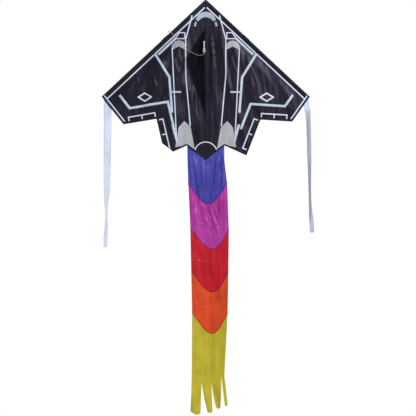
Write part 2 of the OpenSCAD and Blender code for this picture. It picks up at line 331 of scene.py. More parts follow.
BRASS = moulded("brass", (0.72, 0.58, 0.34), 0.28, metallic=1.0)
BLUE = satin("blue_nylon", (0.043, 0.042, 0.30), 0.42, 0.42, 0.7, tint=(0.68, 0.72, 1.0), crumple=0.7)
MAGENTA = satin("magenta_nylon", (0.35, 0.025, 0.265), 0.42, 0.42, 0.7, tint=(1.0, 0.75, 1.0), crumple=0.9)
RED = satin("red_nylon", (0.45, 0.004, 0.014), 0.2, 0.4, 0.2)
ORANGE = satin("orange_nylon", (0.58, 0.056, 0.010), 0.2, 0.4, 0.18)
YELLOW = satin("yellow_nylon", (0.44, 0.375, 0.022), 0.2, 0.4, 0.18)
SEAMS = [satin(f"tail_seam_{k}", shade, 0.2, 0.5, 0.2) for k, shade in enumerate((
    (0.016, 0.014, 0.14), (0.20, 0.008, 0.12), (0.24, 0.003, 0.010), (0.34, 0.028, 0.006)))]
RIBBON = satin("ribbon_satin", (0.57, 0.615, 0.765), 0.35, 0.38, 0.5)
RIBBON_EDGE = satin("ribbon_edge", (0.50, 0.55, 0.70), 0.3, 0.5, 0.2)


# ---- mesh helpers
def ride(obj, body, slot, *nodes):
    """The piece moves with a body and stands for those CAD nodes, which it hides. slot is not used."""
    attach(obj, body)
    if nodes:
        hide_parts(*nodes)
    return obj


def make(name, verts, faces, material, smooth=True):
    """A mesh from places in millimetres. smooth is one flag, or one for each face."""
    mesh = bpy.data.meshes.new(name)
    mesh.from_pydata([tuple(float(c) * MM for c in v) for v in verts], [], [tuple(f) for f in faces])
    mesh.update()
    mesh.materials.append(material)
    flags = smooth if isinstance(smooth, list) else [smooth] * len(faces)
    mesh.polygons.foreach_set("use_smooth", flags)
    obj = bpy.data.objects.new(name, mesh)
    bpy.context.scene.collection.objects.link(obj)
    return obj


def inside(points, outline):
    x, z = points[:, 0], points[:, 1]
    found = np.zeros(len(points), bool)
    for (x0, z0), (x1, z1) in each_side(outline):
        crosses = (z0 > z) != (z1 > z)
        with np.errstate(divide="ignore", invalid="ignore"):
            found ^= crosses & (x < (x1 - x0) * (z - z0) / (z1 - z0) + x0)
    return found


def edge_distance(points, outline):
    best = np.full(len(points), np.inf)
    for a, b in each_side(outline):
        a, b = np.array(a), np.array(b)
        d = b - a
        t = np.clip(((points - a) @ d) / max(d @ d, 1e-9), 0, 1)
        best = np.minimum(best, np.linalg.norm(points - a - t[:, None] * d, axis=1))
    return best


def fill(outline, step):
    """Even triangles over a flat outline: its points and faces."""
    rim = []
    for a, b in each_side(outline):
        n = max(1, math.ceil(math.dist(a, b) / step))
        rim += [(a[0] + (b[0] - a[0]) * k / n, a[1] + (b[1] - a[1]) * k / n) for k in range(n)]
    low, high = np.min(rim, axis=0), np.max(rim, axis=0)
    grid = []
    for k, z in enumerate(np.arange(low[1], high[1], step * 0.866)):
        grid += [(x, z) for x in np.arange(low[0] + step * 0.5 * (k % 2), high[0], step)]
    grid = np.array(grid).reshape(-1, 2)
    grid = grid[inside(grid, outline)]
    if len(grid):
        grid = grid[edge_distance(grid, outline) > 0.45 * step]
    points = [Vector(p) for p in rim] + [Vector(p) for p in grid]
    verts, _, faces, _, _, _ = delaunay_2d_cdt(points, [], [list(range(len(rim)))], 1, 1e-4)
    return np.array([tuple(v) for v in verts]), [list(f) for f in faces]


def surface_normals(points, lay):
    """The way the front of the laid cloth faces at each point, so that neighbouring pieces shade as one."""
    reach = 1.5
    right = lay(points + [reach, 0])[0] - lay(points - [reach, 0])[0]
    up = lay(points + [0, reach])[0] - lay(points - [0, reach])[0]
    out = np.cross(right, up)
    return out / np.linalg.norm(out, axis=1)[:, None]


def shell(name, outline, step, lay, material, lift=0.0, thick=0.3):
    """A closed thin sheet over an outline. lay turns flat points into places and says which way is out."""
    points, faces = fill(turned_right_way(outline), step)
    places, front = lay(points)
    n = len(places)
    verts = np.concatenate([places + front * (lift + thick / 2), places + front * (lift - thick / 2)])
    edges = {}
    for f in faces:
        for a, b in zip(f, f[1:] + f[:1]):
            edges[(a, b)] = True
    rim = [(b, a, a + n, b + n) for a, b in edges if (b, a) not in edges]
    back = [[v + n for v in reversed(f)] for f in faces]
    flags = [True] * (len(faces) + len(back)) + [False] * len(rim)
    obj = make(name, verts, faces + back + rim, material, flags)
    lean = surface_normals(points, lay)
    shade = np.concatenate([lean, -lean])
    corners = np.array([v for f in faces + back for v in f])
    across = [tuple(p.normal) for p in obj.data.polygons[len(faces) * 2:] for _ in p.vertices]
    obj.data.normals_split_custom_set([tuple(n) for n in shade[corners]] + across)
    return obj


def joined(name, objects):
    """Several pieces of one material as one object."""
    verts, faces, flags = [], [], []
    material = objects[0].data.materials[0]
    for o in objects:
        start = len(verts)
        verts += [tuple(c / MM for c in v.co) for v in o.data.vertices]
        faces += [[start + v for v in p.vertices] for p in o.data.polygons]
        flags += [p.use_smooth for p in o.data.polygons]
    for o in objects:
        mesh = o.data
        bpy.data.objects.remove(o)
        bpy.data.meshes.remove(mesh)
    return make(name, verts, faces, material, flags)


def band(points, width):
    """The outline of a line of that width along points, mitred at its corners."""
    p = [np.array(q, float) for q in points]
    left, right = [], []
    for i, q in enumerate(p):
        before = p[i] - p[i - 1] if i else p[1] - p[0]
        after = p[i + 1] - p[i] if i + 1 < len(p) else p[i] - p[i - 1]
        before, after = unit(before), unit(after)
        across = unit(np.array([-before[1] - after[1], before[0] + after[0]]))
        grow = 1 / max(0.45, float(across @ np.array([-before[1], before[0]])))
        left.append(tuple(q + across * width / 2 * grow))
        right.append(tuple(q - across * width / 2 * grow))
    return left + right[::-1]


def turned_right_way(outline):
    """The outline anticlockwise, so that its faces look out of the front."""
    return outline if signed_area(outline) > 0 else outline[::-1]


def smooth_curve(points, steps):
    """A curve through given points, steps stretches between each two."""
    p = np.array(points, float)
    out = []
    for i in range(len(p) - 1):
        a, b, c, d = p[max(i - 1, 0)], p[i], p[i + 1], p[min(i + 2, len(p) - 1)]
        for k in range(steps):
            t = k / steps
            out.append((2 * b + (c - a) * t + (2 * a - 5 * b + 4 * c - d) * t * t
                        + (3 * b - a - 3 * c + d) * t ** 3) / 2)
    out.append(p[-1])
    return np.array(out)


def loft(name, rings, material, closed=False, flip=False):
    """A skin over rings of places, with caps unless it closes on itself. flip turns its faces over."""
    n, k = len(rings), len(rings[0])
    faces = []
    for i in range(n if closed else n - 1):
        here, there = i * k, (i + 1) % n * k
        for j in range(k):
            after = (j + 1) % k
            faces.append((here + j, here + after, there + after, there + j))
    if not closed:
        faces.append(tuple(reversed(range(k))))
        faces.append(tuple(range((n - 1) * k, n * k)))
    if flip:
        faces = [f[::-1] for f in faces]
    return make(name, [place for ring in rings for place in ring], faces, material)


def tube(name, line, radius, material, sides=12, closed=False):
    """A round tube along a line of places."""
    line = np.array(line, float)
    n = len(line)
    rings, normal = [], None
    for i in range(n):
        if closed:
            t = line[(i + 1) % n] - line[i - 1]
        else:
            t = line[min(i + 1, n - 1)] - line[max(i - 1, 0)]
        t = unit(t)
        if normal is None:
            normal = np.cross(t, [0.3, 0.2, 0.9] if abs(t[2]) < 0.9 else [1.0, 0.2, 0.0])
        normal = unit(normal - t * (normal @ t))
        other = np.cross(t, normal)
        rings.append([line[i] + radius * (math.cos(a) * normal + math.sin(a) * other)
                      for a in full_turn(sides)])
    return loft(name, rings, material, closed)


def circle_line(center, radius, u, v, steps=24):
    c, u, v = np.array(center, float), np.array(u, float), np.array(v, float)
    return [c + radius * (math.cos(a) * u + math.sin(a) * v) for a in full_turn(steps)]


def stitches(name, paths, lay, material, pitch=4.5, length=2.8, lift=0.55, both=True):
    """Rows of short threads along flat paths, on the front and, if both, on the back."""
    centers, directions = [], []
    for path in paths:
        for a, b in zip(path, path[1:]):
            a, b = np.array(a, float), np.array(b, float)
            long = np.linalg.norm(b - a)
            for k in range(int(long / pitch)):
                centers.append(a + (b - a) * (k + 0.5) * pitch / long)
                directions.append((b - a) / long)
    half = np.array(directions) * length / 2
    start, front = lay(np.array(centers) - half)
    end, _ = lay(np.array(centers) + half)
    verts, faces = [], []
    for a, b, f in zip(start, end, np.broadcast_to(front, start.shape)):
        side = unit(np.cross(b - a, f)) * 0.45
        middle = (a + b) / 2
        for sign in ((1, -1) if both else (1,)):
            n, out = len(verts), f * sign
            verts += [a + out * (lift - 0.25), middle + side + out * lift,
                      b + out * (lift - 0.25), middle - side + out * lift,
                      middle + out * (lift + 0.4), middle + out * (lift - 0.3)]
            for top, turn in ((n + 4, 1), (n + 5, -1)):
                tris = [(n + k, n + (k + 1) % 4, top) for k in range(4)]
                faces += tris if turn * sign < 0 else [tri[::-1] for tri in tris]
    return make(name, verts, faces, material, smooth=False)


# ---- how the sail lies
def soft_step(t):
    t = np.clip(t, 0, 1)
    return t * t * (3 - 2 * t)


def fold(x, z, x0, z0, x1, z1, width, height):
    """A soft fold along the line from x0, z0 to x1, z1, which fades at both ends."""
    along, down = x1 - x0, z1 - z0
    long = math.hypot(along, down)
    t = ((x - x0) * along + (z - z0) * down) / long ** 2
    off = ((z - z0) * along - (x - x0) * down) / long
    ends = soft_step(t / 0.3) * soft_step((1 - t) / 0.3)
    return height * np.exp(-(off / width) ** 2) * ends


# Folds are rows of x0, z0, x1, z1, width and height.
SAIL_FOLDS = [
    (-250, -250, -330, -690, 44, 11), (-140, -160, -190, -720, 34, 7), (-420, -400, -480, -680, 36, 7),
    (240, -240, 350, -690, 46, 5), (150, -180, 176, -720, 34, 5), (430, -420, 500, -660, 36, 4),
    (-104, -440, -52, -800, 10, 6), (-86, -440, -24, -860, 8, 5.5), (-66, -480, -30, -830, 8, 5.5),
    (-100, -420, -30, -800, 6, 3.6), (-92, -500, -14, -860, 5, 3.4), (-80, -430, -44, -780, 5, 2.8),
    (-60, -400, -22, -700, 5, 1.9), (-96, -560, -64, -830, 5, 1.9), (-110, -360, -80, -600, 6, 1.9),
    (-40, -640, -12, -850, 5, 1.9), (-26, -560, -12, -740, 5, 1.6), (40, -560, 22, -860, 6, 3.2),
    (62, -520, 48, -850, 6, 3.2), (84, -480, 66, -760, 5, 1.9), (20, -400, 34, -640, 5, 1.6),
    (50, -330, 58, -560, 5, 1.9), (14, -640, 18, -860, 5, 1.6), (80, -300, 86, -470, 5, 1.6),
    (16, -150, 70, -136, 5, 1.2), (16, -188, 92, -168, 5, 1.6), (16, -226, 98, -212, 5, 1.6),
    (18, -262, 100, -258, 5, 1.6), (18, -300, 98, -306, 6, 1.6), (-16, -170, -80, -150, 5, 1.2),
    (-150, -290, -118, -420, 5, 1.9), (-186, -300, -130, -470, 6, 2.5), (-250, -330, -214, -460, 7, 2.5),
    (-300, -400, -250, -540, 6, 2.5), (-380, -430, -330, -560, 7, 2.5), (-480, -500, -420, -640, 6, 1.9),
    (150, -290, 122, -430, 5, 1.9), (176, -420, 130, -300, 5, 1.9), (230, -330, 290, -480, 6, 1.9),
    (310, -400, 330, -560, 6, 1.9), (420, -470, 460, -620, 6, 1.9), (130, -520, 118, -660, 5, 1.9),
    (-130, -520, -118, -660, 5, 1.9), (-214, -640, -176, -790, 5, 1.9), (236, -700, 214, -820, 5, 1.9),
    # broad ones: the left wing, then the right wing, then the middle
    (-190, -250, -330, -640, 26, 9), (-250, -300, -420, -600, 22, 7), (-130, -200, -250, -600, 18, 6),
    (-330, -360, -470, -560, 16, 5), (-90, -180, -190, -560, 16, 6), (-200, -520, -330, -660, 14, 5),
    (-60, -430, -110, -790, 14, 6), (-150, -600, -215, -840, 13, 5), (200, -260, 300, -650, 26, 3),
    (120, -170, 270, -560, 22, 2.5), (270, -310, 450, -620, 26, 2.5), (360, -380, 500, -600, 18, 2),
    (70, -190, 150, -600, 18, 7), (160, -560, 235, -830, 14, 4), (55, -470, 70, -800, 13, 6),
    (220, -480, 330, -670, 16, 3), (30, -180, 44, -560, 11, 5), (-34, -500, -46, -850, 10, 5),
    (24, -560, 30, -860, 9, 5), (-26, -200, -60, -420, 12, 4),
]


def ripple(x, z, waves):
    """Long waves over the cloth, as rows of height, length, direction and phase."""
    return sum(h * np.sin((x * math.cos(a) + z * math.sin(a)) / long * 2 * math.pi + at)
               for h, long, a, at in waves)


SAIL_RIPPLES = [(0.7, 74, 0.35, 0.4), (0.5, 47, -0.3, 1.9), (0.4, 31, 0.15, 3.1), (0.9, 160, 1.0, 0.9)]


def sail_height(x, z):
    """How far the cloth lies in front of its flat plane."""
    inset = np.abs(x) * math.sin(EDGE_ANGLE) * -1 - z * math.cos(EDGE_ANGLE)
    held = soft_step((inset - SLEEVE_W) / 60) * soft_step((np.abs(x) - 9) / 22)
    total = sum(fold(x, z, *f) for f in SAIL_FOLDS)
    full = np.where(x > 0, 3.5, 9.0)  # the left wing fills more than the right
    billow = full * np.sin(np.clip(np.abs(x) / 330, 0, 1) * math.pi) * soft_step(-z / 500)
    total = total + billow + ripple(x, z, SAIL_RIPPLES)
    near_keel = 0.65 + 0.35 * soft_step((np.abs(x) - 50) / 60)
    return held * near_keel * np.maximum(total, -1.0)


CURL_FROM, CURL_TO = (-236.0, -786.0), (-172.0, -836.0)  # the left lobe's corner turns back here
CURL_R, CURL_END = 7.0, math.radians(168)


def lay_sail(points):
    """Flat points of the sail as places, and the direction that its front faces."""
    x, z = points[:, 0], points[:, 1]
    y = -sail_height(x, z)
    a, b = np.array(CURL_FROM), np.array(CURL_TO)
    out = unit(np.array([(b - a)[1], -(b - a)[0]]))
    past = np.clip((points - a) @ out, 0, None) * ((x < -150) & (z < -705))
    angle = np.minimum(past / CURL_R, CURL_END)
    rest = past - angle * CURL_R
    flat = CURL_R * np.sin(angle) + rest * np.cos(angle)
    deep = CURL_R * (1 - np.cos(angle)) + rest * np.sin(angle)
    x, z = x + out[0] * (flat - past), z + out[1] * (flat - past)
    places = np.stack([x, y + deep, z], axis=1)
    front = np.stack([out[0] * np.sin(angle), -np.cos(angle), out[1] * np.sin(angle)], axis=1)
    return places, front


# Half sections of the sleeve, from its seam to its fold, as inset and height.
SLEEVE_PROFILE = [(26, 0.4), (22, 0.6), (16, 1.5), (11, 3.0), (7.5, 4.2), (4.5, 4.3), (2.0, 3.3), (0.6, 1.5)]
OVER_FITTING = [(26, 0.4), (22, 0.6), (16, 2.0), (11, 4.4), (7.5, 5.9), (4.5, 6.2), (0.5, 5.0), (-1.2, 2.0)]
FLAT_FROM = 20  # the part of the sleeve that is sewn flat starts at this inset


def sleeve_swell(s):
    """How loosely the sleeve lies on its rod, along its length."""
    flat = np.minimum(1.0, np.minimum(0.25 + s / 60.0, 0.25 + (EDGE_LEN - 2 - s) / 30.0))
    return (1.0 + 0.05 * np.sin(s / 13.0) + 0.035 * np.sin(s / 5.3 + 1.0)) * flat


def lay_print(points):
    """Print lies on the sail, and on the front of the sleeves where it reaches them."""
    places, front = lay_sail(points)
    x, z = np.abs(points[:, 0]), points[:, 1]
    s = x * math.cos(EDGE_ANGLE) - z * math.sin(EDGE_ANGLE)
    inset = -x * math.sin(EDGE_ANGLE) - z * math.cos(EDGE_ANGLE)
    swell = sleeve_swell(s)
    tops = [(i, y * (1.05 if i < FLAT_FROM else 1.0)) for i, y in SLEEVE_PROFILE[::-1]]
    height = np.interp(inset, [i for i, _ in tops], [y for _, y in tops], right=0.0)
    nose = (s < 47) & (z > -68)
    height = np.where(nose, np.maximum(height, 1.3), height)
    cover = ((inset < SLEEVE_W + 0.5) & (s > 30)) | nose
    swelled = height * np.where((inset < FLAT_FROM) & ~nose, swell, 1.0)
    places[:, 1] = np.where(cover, -swelled - 0.15, places[:, 1])
    return places, front


# ---- the sail
CUT_INSET = SLEEVE_W - 4
CUT_NOSE = (0.0, -CUT_INSET / math.cos(EDGE_ANGLE))
TIP_CUT = (TIP[0] - 0.599 * CUT_INSET, TIP[1] - 0.801 * CUT_INSET)  # that far down the outer edge
RIGHT_EDGE = [(OUTER[0] + 13, OUTER[1] + 9), (NOTCH[0] + 13, NOTCH[1] - 1), LOBE, INNER]
LEFT_EDGE = [(OUTER[0] - 11, OUTER[1] - 6), (NOTCH[0] - 17, NOTCH[1] + 3), LOBE, INNER]
SAIL = turned_right_way([CUT_NOSE, TIP_CUT, *RIGHT_EDGE, POINT, *mirrored([TIP_CUT, *LEFT_EDGE][::-1])])


def on_sail(obj):
    """The piece's place is baked into its mesh."""
    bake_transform(obj)
    return obj


def inner_offset(points, distance):
    """A line moved to its right by distance, mitred."""
    outline = band(points, 2 * distance)
    return outline[len(points):][::-1]


def inside_trailing_edges(distance):
    """Lines inside the right and the left trailing edge."""
    right = inner_offset([TIP, *RIGHT_EDGE, POINT], distance)
    return [right, mirrored(inner_offset([TIP, *LEFT_EDGE, POINT], distance))]


HEM_LINES = inside_trailing_edges(HEM_W / 2)


def make_sail():
    sail = shell("sail_cloth", SAIL, 5.0, lay_sail, NYLON, thick=0.35)
    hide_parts("sail_center_panel", "left_wing_sail", "right_wing_sail")
    on_sail(sail)
    hems = []
    for line in HEM_LINES:
        for ends in zip(line, line[1:]):
            hems.append(shell("hem", band(ends, HEM_W), 5.0, lay_sail, NYLON_EDGE, thick=1.7))
    hem = on_sail(joined("trailing_hem", hems))
    seam_line = band([(0, -60), (0, -870)], 7)
    seam = on_sail(shell("centre_seam", seam_line, 7.0, lay_sail, NYLON_EDGE, thick=1.0))
    rows = inside_trailing_edges(HEM_W - 1.5)
    rows += [[(x, z), (x, end)] for x in (-2.4, 2.4) for z, end in ((-64, -148), (-664, -868))]
    thread = on_sail(stitches("sail_stitching", rows, lay_sail, THREAD, lift=1.0))
    edge = [along_edge(60, SLEEVE_W - 2), along_edge(EDGE_LEN - 22, SLEEVE_W - 2)]
    sleeve_thread = on_sail(stitches("sleeve_stitching", [edge, mirrored(edge)], lay_sail, THREAD, lift=1.1))


# The print is a plain pattern of panel lines, straight or beside the sail's own edges, on both halves.
THIN, THICK = 7.0, 13.0
LEADING_IN = 30.0  # how far in from the folded edge the long line runs
FLAP_LOW, FLAP_HIGH = 12.0, 34.0  # the boxes along the trailing edges
WING_IN = 82.0  # how far inside the trailing edges the thick line runs
BODY_LINE = [(75, -90), (110, -220), (110, -420), (85, -700)]
INNER_LINE = [(185, -270), (160, -780)]
BENT_LINE = [(280, -300), (200, -430), (185, -625)]
TOP_BOX = [(115, -185), (145, -185), (168, -218), (115, -218)]
CROSS_BAR = [(135, -512), (188, -512)]
WEDGE = [(190, -690), (175, -690), (152, -790), (162, -790)]
TAIL_PATCH = [(82, -706), (118, -670), (150, -706), (168, -816), (106, -804), (60, -830)]
MARK = [(371, -540), (335, -518), (299, -540), (335, -562)]
NOSE_BAR = [(54, -126), (60, -150)]
HAIR = 0.02  # how far apart lines that cross lie


def arc(x, z, radius, first, last, steps=14):
    turns = (math.radians(first + (last - first) * k / steps) for k in range(steps + 1))
    return [(x + radius * math.cos(a), z + radius * math.sin(a)) for a in turns]


def beside(a, b, share, depth):
    """A point beside the edge that runs from a to b, depth inside it."""
    a, b = np.array(a), np.array(b)
    along = unit(b - a)
    return tuple(a + (b - a) * share + depth * np.array([along[1], -along[0]]))


def flap(a, b, first, last):
    """A box along a trailing edge, and a tick at its middle."""
    corners = ((first, FLAP_LOW), (first, FLAP_HIGH), (last, FLAP_HIGH), (last, FLAP_LOW))
    tick = [beside(a, b, (first + last) / 2, depth) for depth in (FLAP_HIGH, FLAP_LOW)]
    return [(THIN, [beside(a, b, t, depth) for t, depth in corners]), (THIN, tick)]


def thin_lines(edge):
    """The thin lines of the right wing, whose trailing edge runs through those corners."""
    outer, notch, lobe = edge[:3]
    lines = [(THIN, [along_edge(36, LEADING_IN), along_edge(776, LEADING_IN)])]
    lines.append((THIN, [beside(TIP, outer, t, 15) for t in (0.03, 0.96)]))
    lines += flap(outer, notch, 0.18, 0.98) + flap(notch, lobe, 0.04, 0.86)
    lines += [(THIN, BODY_LINE), (6, INNER_LINE)]
    return bands(lines) + ring(TOP_BOX, 6) + ring(MARK, 8)


def thick_lines(edge):
    outer, notch, lobe = edge[:3]
    wing = inner_offset([TIP, outer, notch, lobe], WING_IN)
    wing = [beside(TIP, outer, 0.28, WING_IN), wing[1], wing[2], beside(notch, lobe, 0.42, WING_IN)]
    lines = [(THICK, wing), (THICK, BENT_LINE), (9, CROSS_BAR)]
    lines.append((12, [along_edge(262, 45), along_edge(400, 45)]))
    return bands(lines) + [WEDGE]


def printed(name, outlines, material, lift):
    """Ink on the front of the cloth and its faint show-through on the back."""
    faces = (("front", 1, 4.0, lay_print, material), ("back", -1, 8.0, lay_sail, SHOW_THROUGH))
    for side, way, step, lay, ink in faces:
        parts = [
            shell("ink", o, step, lay, ink, lift=way * (lift + HAIR * (k % 7)), thick=0.2)
            for k, o in enumerate(outlines)
        ]
        on_sail(joined(f"{name}_{side}", parts))


def bands(lines):
    return [band(points, width) for width, points in lines]


def ring(corners, width):
    """A closed line, whose sides run on a little so that its corners fill."""
    sides = []
    for a, b in each_side(corners):
        on = 0.4 * width * np.subtract(b, a) / math.dist(a, b)
        sides.append(band([a - on, b + on], width))
    return sides


def both_sides(outlines, others=None):
    """Outlines of the right half, with the others mirrored onto the left half."""
    return outlines + [mirrored(o) for o in others or outlines]


def make_print():
    lines = both_sides(thin_lines(RIGHT_EDGE), thin_lines(LEFT_EDGE))
    lines.append(band(arc(0, -848, 62, 14, 166), 6))
    printed("print_lines", lines, PRINT, 0.62)
    hatched = both_sides(thick_lines(RIGHT_EDGE), thick_lines(LEFT_EDGE))
    printed("print_hatching", hatched, PRINT_HATCH, 0.78)
    cap = arc(148, -268, 40, 0, 180) + [(108, -282), (148, -262), (188, -282)]
    printed("print_patches", both_sides([cap, TAIL_PATCH]), PRINT_GREY, 0.48)
    crescent = arc(0, -125, 56, 10, 170) + arc(0, -146, 46, 150, 30)
    printed("print_nose", [crescent, *both_sides([band(NOSE_BAR, 11)])], PRINT_NOSE, 0.6)


# ---- sleeves and patches
def sleeve_ring(s, side, window=False):
    """One ring of the sleeve's skin, as places; the window leaves the front layer, over the fitting."""
    swell = float(sleeve_swell(s))
    reach = [(i, y * (swell if i < FLAT_FROM else 1.0)) for i, y in SLEEVE_PROFILE]
    loop = [(i, -y) for i, y in reach] + [(i, y) for i, y in reversed(reach)]
    if window:
        loop = [(i, -y) for i, y in OVER_FITTING] + [(i + 0.2, 0.4 - y) for i, y in reversed(OVER_FITTING)]
    out = []
    for inset, y in loop:
        x, z = along_edge(s, inset)
        out.append((side * x, y, z))
    return out


def sleeve_part(side, start, end, window=False):
    rings = max(2, int((end - start) / 6) + 1)
    skin = [sleeve_ring(s, side, window) for s in np.linspace(start, end, rings)]
    return loft("part", skin, NYLON, flip=side > 0)


def make_sleeves():
    for side, name, body in ((-1, "left", "root"), (1, "right", "right_wing")):
        near, far = FITTING_S - WINDOW / 2, FITTING_S + WINDOW / 2
        parts = [
            sleeve_part(side, 34, near),
            sleeve_part(side, near, far, window=True),
            sleeve_part(side, far, EDGE_LEN - 4),
        ]
        ride(joined(f"{name}_sleeve_cloth", parts), body, "sail_nylon", f"{name}_leading_edge_sleeve")
        patch = [along_edge(EDGE_LEN - 62, SLEEVE_W - 8), along_edge(EDGE_LEN - 7, SLEEVE_W - 8),
                 along_edge(EDGE_LEN - 12, 64)]
        if side < 0:
            patch = mirrored(patch)
        cloth = shell(f"{name}_tip_cloth", patch, 5.0, lay_sail, NYLON_EDGE, lift=-0.7, thick=0.5)
        ride(cloth, body, "sail_nylon", f"{name}_tip_patch")


def make_nose():
    right = [along_edge(40, 0.8), along_edge(44, 4)]
    outline = [(0, -1.0), *right, (0, -66), *mirrored(right[::-1])]
    cloth = shell("nose_patch_cloth", outline, 4.0, lay_sail, NYLON_EDGE, thick=2.4)
    ride(cloth, "root", "sail_nylon", "nose_patch")
    row = [along_edge(38, 6), (0, -58), *mirrored([along_edge(38, 6)])]
    ride(stitches("nose_stitching", [row], lay_sail, THREAD, lift=1.35), "root", "sail_nylon")


# ---- the keel and its tow tab
def lay_keel(points):
    """Flat points (depth, z) of the keel as places; it bellies a little to the left."""
    depth, z = points[:, 0], points[:, 1]
    share = np.clip(depth / KEEL_DEPTH, 0, 1)
    down = np.clip((-z - KEEL_TOP) / (KEEL_BOTTOM - KEEL_TOP), 0, 1)
    belly = 2.5 * np.sin(math.pi * share) * np.sin(math.pi * down) + 0.6 * np.sin(depth / 17 + z / 23)
    x = -belly * soft_step(depth / 30) * soft_step((KEEL_DEPTH - depth) / 30) + EYELET[0] * share ** 2
    places = np.stack([x, -1.6 - depth * (KEEL_DEPTH - 1.6) / KEEL_DEPTH, z], axis=1)
    return places, np.array([-1.0, 0.0, 0.0])


def make_keel():
    corners = [(0, -KEEL_TOP), (KEEL_DEPTH, -KEEL_APEX), (0, -KEEL_BOTTOM)]
    free_edges = [corners[:2], corners[1:]]
    keel = shell("keel_cloth", corners, 7.0, lay_keel, NYLON, thick=0.4)
    ride(keel, "keel", "sail_nylon", "keel_panel")
    hems = [shell("hem", band(inner_offset(edge, 4.0), 8), 6.0, lay_keel, NYLON_EDGE, thick=1.2)
            for edge in free_edges]
    hem = ride(joined("keel_hem", hems), "keel", "sail_nylon")
    outline = [(KEEL_DEPTH - 3, -KEEL_APEX), (KEEL_DEPTH - 58, -KEEL_APEX + 26),
               (KEEL_DEPTH - 44, -KEEL_APEX - 92)]
    patches = [shell("patch", outline, 6.0, lay_keel, NYLON_EDGE, lift=lift, thick=0.5)
               for lift in (0.75, -0.75)]
    patch = ride(joined("keel_patches", patches), "keel", "sail_nylon", "keel_reinforcement")
    rows = [inner_offset(edge, 6.5) for edge in free_edges]
    rows += [[(8, -KEEL_TOP - 8), (8, -KEEL_BOTTOM + 22)],
             [(KEEL_DEPTH - 55, -KEEL_APEX + 22), (KEEL_DEPTH - 42, -KEEL_APEX - 86)]]
    thread = ride(stitches("keel_stitching", rows, lay_keel, THREAD, lift=0.9), "keel", "sail_nylon")


def make_strap():
    """Tape that narrows between the keel's nose and the eyelet."""
    rows = 16
    top, end = -KEEL_APEX + 7, EYELET[2] + 4
    rings = []
    for k in range(rows + 1):
        t = k / rows
        x = EYELET[0] - 0.6 * math.sin(t * math.pi)
        half = 2.7 + 2.6 * float(soft_step((t - 0.6) / 0.4))
        waver = 0.5 * math.cos(t * 5) - 1.2 * math.sin(math.pi * t) - 1.9 * max(0.0, 1 - t / 0.4)
        y = EYELET[1] - 0.4 + waver
        loop = [(u, -0.6) for u in (-1, -0.5, 0, 0.5, 1)] + [(u, 0.6) for u in (1, 0.5, 0, -0.5, -1)]
        rings.append([(x + half * u, y + deep + 0.25 * abs(u), top + (end - top) * t) for u, deep in loop])
    return loft("strap", rings, TAPE, flip=True)


def make_collar():
    """A ring of tape round the eyelet."""
    inner, outer = EYELET_R - 0.6, EYELET_R + 1.6
    section = ((inner, -0.7), (outer, -0.7), (outer, 0.7), (inner, 0.7))
    rings = [[EYELET + np.array([r * math.cos(a), y, r * math.sin(a)]) for r, y in section]
             for a in full_turn(40)]
    return loft("collar", rings, TAPE, closed=True)


def make_tab():
    """White tape folded round the keel's nose, with the eyelet in its hanging end."""
    back, front = KEEL_DEPTH - 24, KEEL_DEPTH + 1
    outline = [(back, -KEEL_APEX - 5), (front, -KEEL_APEX - 5),
               (front, -KEEL_APEX + 6), (back, -KEEL_APEX + 6)]
    legs = [shell("leg", outline, 4.0, lay_keel, TAPE, lift=lift, thick=0.9) for lift in (-1.5, 1.5)]
    ride(joined("tow_tape", [make_strap(), make_collar(), *legs]), "keel", "white_tape", "tow_tab")
    back, front = KEEL_DEPTH - 21, KEEL_DEPTH - 2
    box = [(back, -KEEL_APEX - 3), (front, -KEEL_APEX - 3), (front, -KEEL_APEX + 4), (back, -KEEL_APEX + 4)]
    box.append(box[0])
    thread = stitches("tab_stitching", [box], lay_keel, PALE_THREAD, pitch=2.6, length=1.8, lift=2.05)
    ride(thread, "keel", "white_tape")


# ---- the leader
LEADER_D = 2.5
LEADER_ROUTE = [
    (-8, -192, -314), (-9, -192, -320), (-14, -189, -325), (-24, -181, -328),
    (-38, -167, -326), (-54, -150, -320), (-70, -133, -310), (-86, -116, -298),
    (-102, -99, -284), (-118, -82, -268), (-134, -65, -251), (-150, -48, -233),
    (-164, -34, -216), (-177, -22, -200), (-188, -14, -187), (-197, -8, -178),
    (-204, -2, -174), (-206, 4, -176), (-203, 8, -183), (-197, 9, -192),
    (-191, 8, -202), (-188, 6, -214), (-186, 5, -234), (-185, 5, -260),
    (-185, 5, -290), (-184, 5, -330), (-184, 5, -365), (-184, 5, -400),
]


def make_leader():
    line = smooth_curve(LEADER_ROUTE, 6)
    cord = tube("leader_line", line, LEADER_D / 2, LINE)
    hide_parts("leader_cord")
    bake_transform(cord)
    start, end = line[0], line[-1]
    coils = [(circle_line(start + [0, 0, 2.6], 3.4, (0, 1, 0), (0, 0, 1)), 1.2, 12)]
    coils += [(circle_line(start - [0.2 * k, 0, 1.8 * k - 0.6], 1.7, (1, 0, 0.2), (0, 1, 0.15)), 1.1, 8)
              for k in range(3)]
    hitch = joined("leader_hitch", [tube("wrap", c, r, LINE, n, closed=True) for c, r, n in coils])
    ride(hitch, "keel", "leader_line")
    knot = [tube("wrap", circle_line(end - [0, 0, 0.4 + 1.9 * k], 1.9, (1, 0, 0.25), (0, 1, -0.2)),
                 1.15, LINE, 8, closed=True) for k in range(4)]
    loop = [end + [9 * math.sin(a) * math.sin(a / 2), 0.3 * math.sin(a), -5 - 10.5 * (1 - math.cos(a))]
            for a in np.linspace(0, 2 * math.pi, 40)[:-1]]
    knot.append(tube("loop", loop, LEADER_D / 2, LINE, closed=True))
    knot = ride(joined("leader_loop", knot), "root", "leader_line", "leader_loop_knot")


